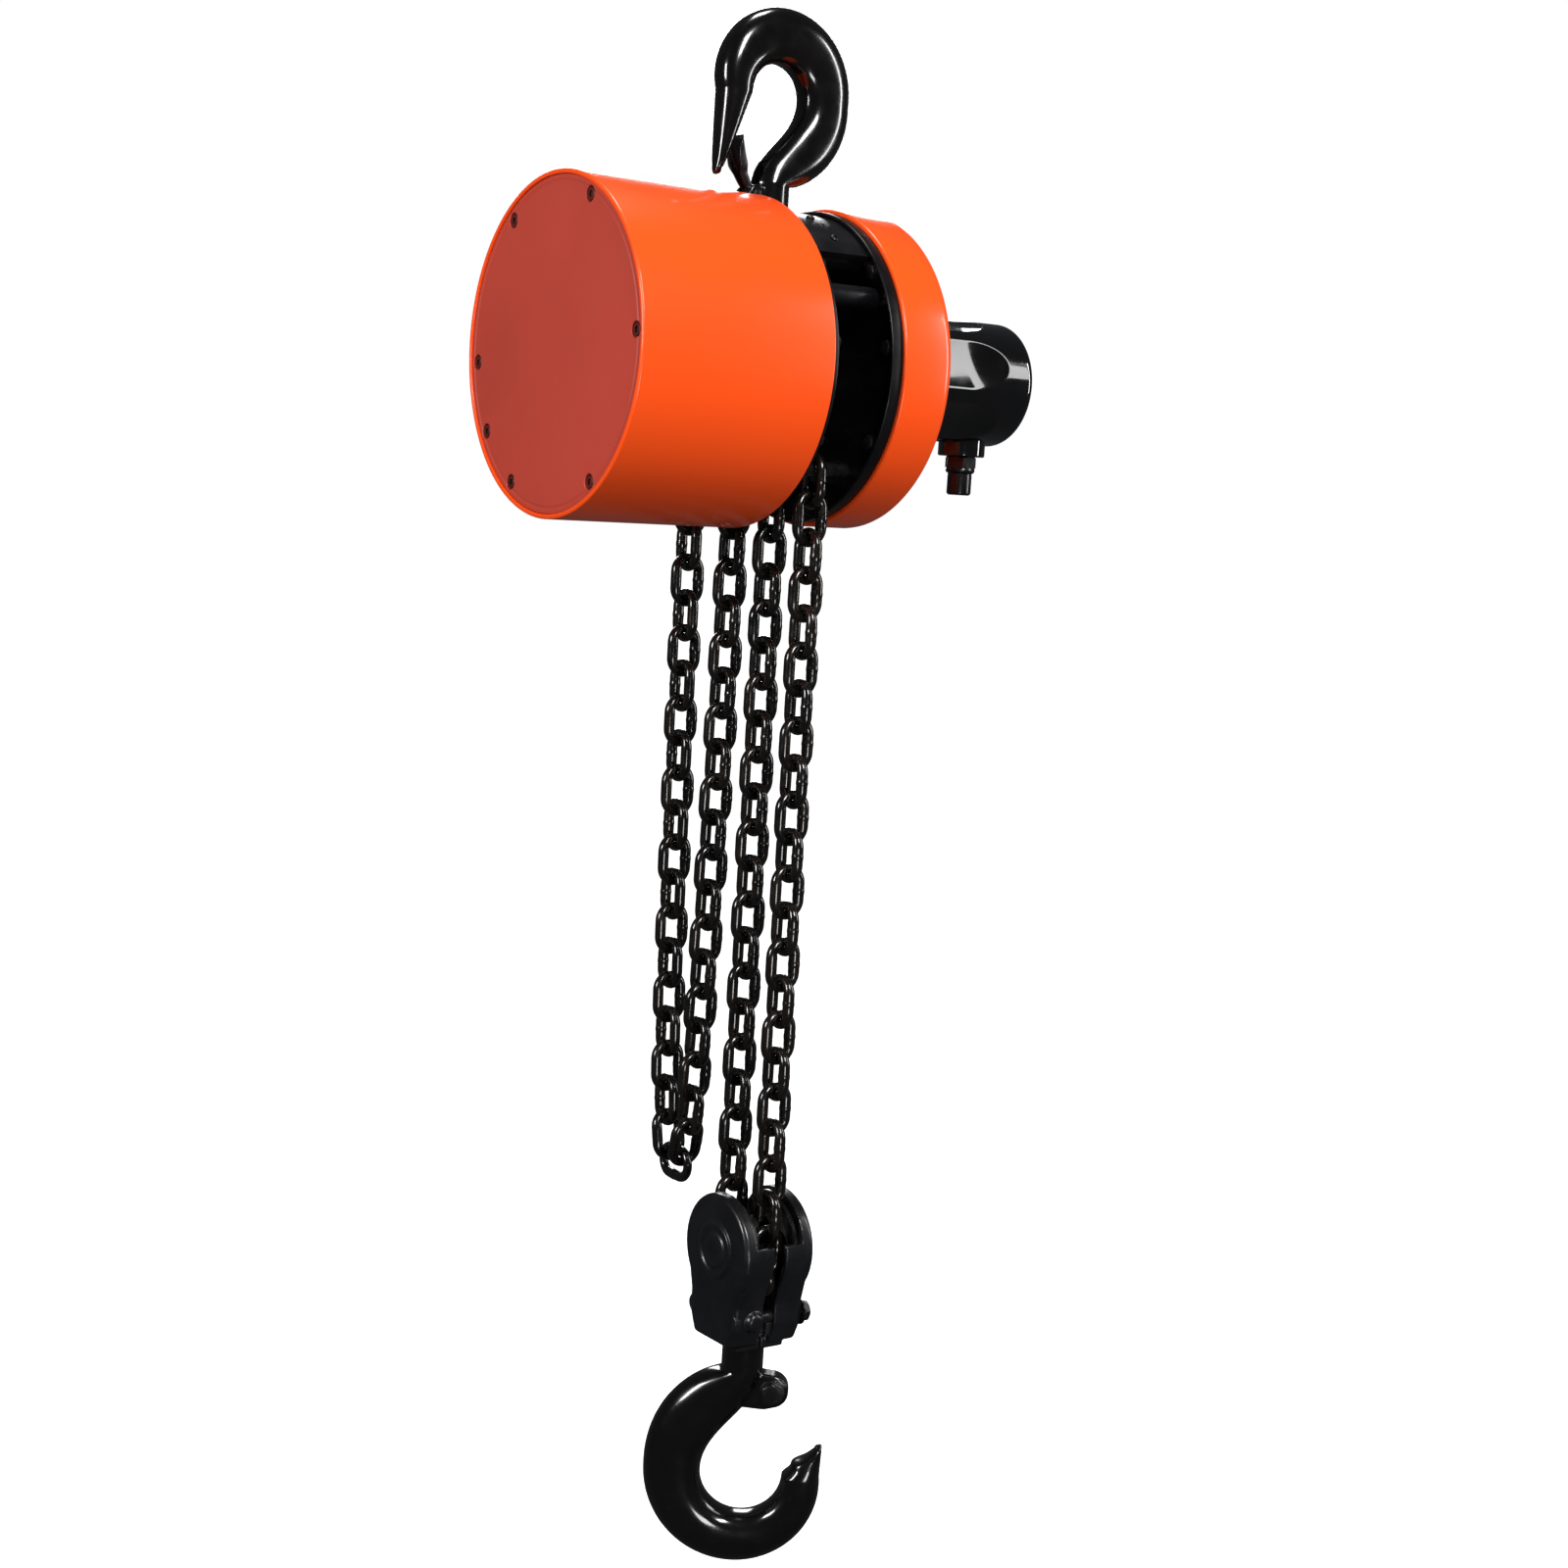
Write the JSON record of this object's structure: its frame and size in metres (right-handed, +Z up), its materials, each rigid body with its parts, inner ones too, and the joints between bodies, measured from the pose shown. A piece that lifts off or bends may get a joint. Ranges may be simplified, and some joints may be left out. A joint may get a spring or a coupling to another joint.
{
  "type": "electric chain hoist with hook block",
  "caption": "Electric chain hoist: a motor barrel and gear case on a swivelling top hook, lifting a two-fall chain, hook block and swivelling load hook.",
  "frame": {"origin": "lowest point of the top hook's bowl, where the hoist hangs", "axes": "+Z up, +X along the motor barrel from the front cover to the rear cap, +Y across the hoist towards the slack chain"},
  "size_m": [0.442, 0.264, 1.275],
  "materials": {
    "orange_paint": "gloss sprayed enamel",
    "cover_paint": "matt powder coat",
    "black_enamel": "gloss black enamel",
    "satin_black": "satin black paint",
    "chain_black": "oiled black oxide",
    "steel": "machined",
    "blackened_steel": "blackened",
    "copper_wire": "enamelled copper",
    "bronze": "turned",
    "black_plastic": "moulded gloss",
    "grey_plastic": "moulded",
    "gasket_rubber": "matt"
  },
  "bodies": {
    "top_hook_body": {"top_hook": "black_enamel", "top_hook_nut": "steel", "top_latch_pin": "blackened_steel", "top_latch_spring": "steel"},
    "top_latch": {"top_hook_latch": "blackened_steel"},
    "hoist_frame": {"top_thrust_bearing": "steel", "top_yoke": "satin_black", "yoke_bolts": "blackened_steel", "front_side_plate": "satin_black", "rear_side_plate": "satin_black", "stay_bolts": "blackened_steel", "frame_web": "satin_black", "barrel_screws": "blackened_steel", "case_screws": "blackened_steel", "chain_guide": "satin_black", "chain_stripper": "blackened_steel", "fall_anchor_pin": "steel", "slack_anchor_pin": "steel", "sheave_bearings": "steel", "motor_barrel": "orange_paint", "front_cover": "cover_paint", "cover_gasket": "gasket_rubber", "cover_screws": "blackened_steel", "motor_stator": "steel", "stator_windings": "copper_wire", "motor_end_shields": "steel", "rotor_bearings": "steel", "brake_magnet": "satin_black", "gear_case": "orange_paint", "rear_cap": "black_plastic", "cap_screws": "blackened_steel", "contactor_block": "grey_plastic", "gland_body": "black_plastic", "gland_nut": "black_plastic", "sheave_wrap": "chain_black", "load_fall_upper": "chain_black", "dead_fall_upper": "chain_black", "slack_chain": "chain_black"},
    "rotor": {"motor_rotor": "steel", "drive_shaft": "steel", "brake_disc": "steel"},
    "lay_upper": {"lay_gear_upper": "steel"},
    "lay_lower": {"lay_gear_lower": "steel"},
    "sheave": {"load_sheave": "steel", "sheave_gear": "steel"},
    "hook_block": {"block_shell_front": "satin_black", "block_shell_rear": "satin_black", "idler_axle": "steel", "block_bolts": "blackened_steel", "block_nuts": "blackened_steel", "hook_thrust_bearing": "steel", "load_fall_lower": "chain_black", "dead_fall_lower": "chain_black", "idler_wrap": "chain_black"},
    "idler": {"idler_sheave": "steel", "idler_bush": "bronze"},
    "lower_hook": {"bottom_hook": "black_enamel", "hook_nut": "steel", "lug_bolt": "blackened_steel", "lug_nut": "blackened_steel"}
  },
  "joints": [
    {"name": "top_swivel", "type": "hinge", "parent": "top_hook_body", "child": "hoist_frame", "pos_m": [0, 0, -0.13], "axis": [0, 0, 1], "continuous": true},
    {"name": "top_latch_hinge", "type": "hinge", "parent": "top_hook_body", "child": "top_latch", "pos_m": [-0.019, 0, -0.104], "axis": [0, 1, 0], "range_deg": [0, 30], "stiffness_Nm_per_rad": 0.05, "springref_deg": -17.19},
    {"name": "motor_spin", "type": "hinge", "parent": "hoist_frame", "child": "rotor", "pos_m": [-0.1, 0, -0.238], "axis": [-1, 0, 0], "range_deg": [0, 14400]},
    {"name": "lay_upper_spin", "type": "hinge", "parent": "hoist_frame", "child": "lay_upper", "pos_m": [0.06, 0, -0.178], "axis": [-1, 0, 0], "range_deg": [-3601, 1]},
    {"name": "lay_lower_spin", "type": "hinge", "parent": "hoist_frame", "child": "lay_lower", "pos_m": [0.06, 0, -0.298], "axis": [-1, 0, 0], "range_deg": [-3601, 1]},
    {"name": "sheave_spin", "type": "hinge", "parent": "hoist_frame", "child": "sheave", "pos_m": [0, 0, -0.238], "axis": [-1, 0, 0], "range_deg": [-1, 1201]},
    {"name": "lift", "type": "slide", "parent": "hoist_frame", "child": "hook_block", "axis": [0, 0, 1], "range_m": [-0.0005, 0.3005], "deforming": ["sheave_wrap", "load_fall_upper", "load_fall_lower", "dead_fall_upper", "dead_fall_lower", "idler_wrap", "slack_chain"]},
    {"name": "idler_spin", "type": "hinge", "parent": "hook_block", "child": "idler", "pos_m": [0, -0.05996, -0.958], "axis": [-1, 0, 0], "range_deg": [-601, 1]},
    {"name": "hook_swivel", "type": "hinge", "parent": "hook_block", "child": "lower_hook", "pos_m": [0, -0.05996, -1.041], "axis": [0, 0, 1], "continuous": true}
  ],
  "couplings": [
    {"joint": "lay_upper_spin", "follows": "motor_spin", "ratio": -0.25},
    {"joint": "lay_lower_spin", "follows": "motor_spin", "ratio": -0.25},
    {"joint": "sheave_spin", "follows": "motor_spin", "ratio": 0.083333},
    {"joint": "lift", "follows": "motor_spin", "m_per_rad": 0.0011937},
    {"joint": "idler_spin", "follows": "motor_spin", "ratio": -0.041667}
  ]
}
